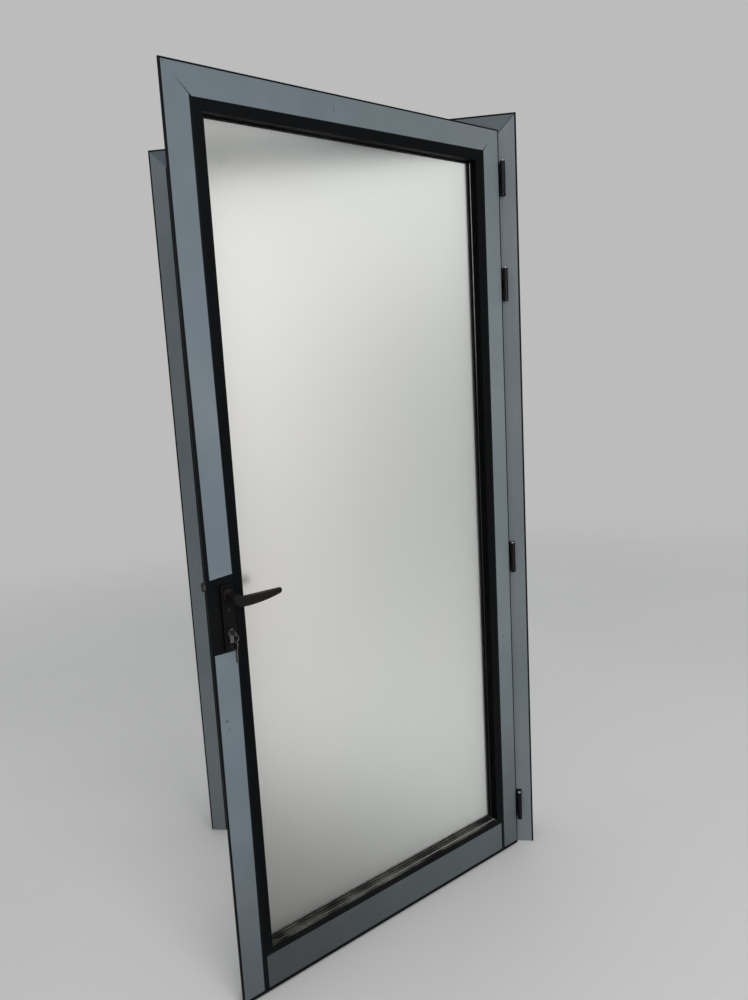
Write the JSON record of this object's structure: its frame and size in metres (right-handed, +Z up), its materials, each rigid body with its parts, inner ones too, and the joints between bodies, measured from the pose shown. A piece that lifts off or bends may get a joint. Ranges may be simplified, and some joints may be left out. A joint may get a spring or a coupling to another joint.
{
  "type": "glass entrance door",
  "caption": "Black aluminium entrance door with an obscured glass pane, film-covered faces, lever handles, a key lock and butt hinges, standing open in its three-sided frame.",
  "frame": {"origin": "at the floor, on the hinge jamb's side face that meets the wall's opening, in the plane of the wall's surface", "axes": "+X along the wall to the right, out of the hinge jamb's wall face; +Y into the wall; +Z up"},
  "size_m": [1.08, 0.8471, 2.2],
  "materials": {
    "black_profile": "satin black powder coat",
    "leaf_film": "pale slate-blue protective film",
    "frame_film": "dusty grey-blue protective film",
    "obscured_glass": "acid-etched, translucent",
    "black_rubber": "matt",
    "cleat_alloy": "die cast",
    "hinge_black": "satin black",
    "pin_steel": "plain steel",
    "screw_steel": "zinc plated",
    "lock_steel": "brushed",
    "block_plastic": "matt",
    "brush_pile": "pile",
    "cylinder_nickel": "nickel plated",
    "handle_black": "brown-black satin coat",
    "key_nickel": "nickel plated",
    "ring_steel": "bright wire"
  },
  "bodies": {
    "frame": {"hinge_jamb": "black_profile", "latch_jamb": "black_profile", "head_jamb": "black_profile", "frame_corner_cleats": "cleat_alloy", "frame_gasket": "black_rubber", "strike_plate": "lock_steel", "frame_screws": "screw_steel", "hinge_jamb_film": "frame_film", "latch_jamb_film": "frame_film", "head_film": "frame_film", "hinge_frame_leaf_1": "hinge_black", "hinge_frame_leaf_2": "hinge_black", "hinge_frame_leaf_3": "hinge_black", "hinge_frame_leaf_4": "hinge_black", "hinge_pin_1": "pin_steel", "hinge_pin_2": "pin_steel", "hinge_pin_3": "pin_steel", "hinge_pin_4": "pin_steel"},
    "leaf": {"latch_stile": "black_profile", "hinge_stile": "black_profile", "top_rail": "black_profile", "bottom_rail": "black_profile", "leaf_corner_cleats": "cleat_alloy", "glass_pane": "obscured_glass", "glazing_bead_top": "black_profile", "glazing_bead_bottom": "black_profile", "glazing_bead_latch": "black_profile", "glazing_bead_hinge": "black_profile", "glazing_gasket_front": "black_rubber", "glazing_gasket_rear": "black_rubber", "setting_blocks": "block_plastic", "leaf_gasket": "black_rubber", "latch_stile_film_upper": "leaf_film", "latch_stile_film_lower": "leaf_film", "hinge_stile_film": "leaf_film", "top_rail_film": "leaf_film", "bottom_rail_film": "leaf_film", "bottom_brush_seal": "brush_pile", "hinge_leaf_screws": "screw_steel", "lock_case": "lock_steel", "lock_faceplate": "lock_steel", "cylinder_body": "cylinder_nickel", "handle_plate_inside": "handle_black", "handle_plate_outside": "handle_black", "handle_screws": "screw_steel", "hinge_door_leaf_1": "hinge_black", "hinge_door_leaf_2": "hinge_black", "hinge_door_leaf_3": "hinge_black", "hinge_door_leaf_4": "hinge_black"},
    "lever": {"lever_inside": "handle_black", "lever_outside": "handle_black", "spindle": "lock_steel", "lock_hub": "lock_steel"},
    "latch": {"latch_bolt": "lock_steel"},
    "deadbolt": {"deadbolt": "lock_steel"},
    "key": {"cylinder_plug": "cylinder_nickel", "key": "key_nickel"},
    "hanging_key": {"key_ring": "ring_steel", "spare_key": "key_nickel"}
  },
  "joints": [
    {"name": "leaf_swing", "type": "hinge", "parent": "frame", "child": "leaf", "pos_m": [-0.011, -0.031, 1], "axis": [0, 0, 1], "range_deg": [-46.4, 52]},
    {"name": "lever_turn", "type": "hinge", "parent": "leaf", "child": "lever", "pos_m": [-0.68728, -0.69331, 1.032], "axis": [-0.7242, 0.6896, 0], "range_deg": [0, 45], "stiffness_Nm_per_rad": 2, "springref_deg": -20.05},
    {"name": "latch_slide", "type": "slide", "parent": "leaf", "child": "latch", "axis": [0.6896, 0.7242, 0], "range_m": [0, 0.0141]},
    {"name": "key_turn", "type": "hinge", "parent": "leaf", "child": "key", "pos_m": [-0.68728, -0.69331, 0.944], "axis": [0.7242, -0.6896, 0], "range_deg": [0, 360]},
    {"name": "deadbolt_slide", "type": "slide", "parent": "leaf", "child": "deadbolt", "axis": [-0.6896, -0.7242, 0], "range_m": [0, 0.0201]},
    {"name": "hanging_key_swing", "type": "hinge", "parent": "key", "child": "hanging_key", "pos_m": [-0.64672, -0.73193, 0.94192], "axis": [-0.6896, -0.7242, 0], "range_deg": [-12, 60]}
  ],
  "couplings": [
    {"joint": "latch_slide", "follows": "lever_turn", "m_per_rad": 0.017825},
    {"joint": "deadbolt_slide", "follows": "key_turn", "m_per_rad": 0.003183}
  ]
}
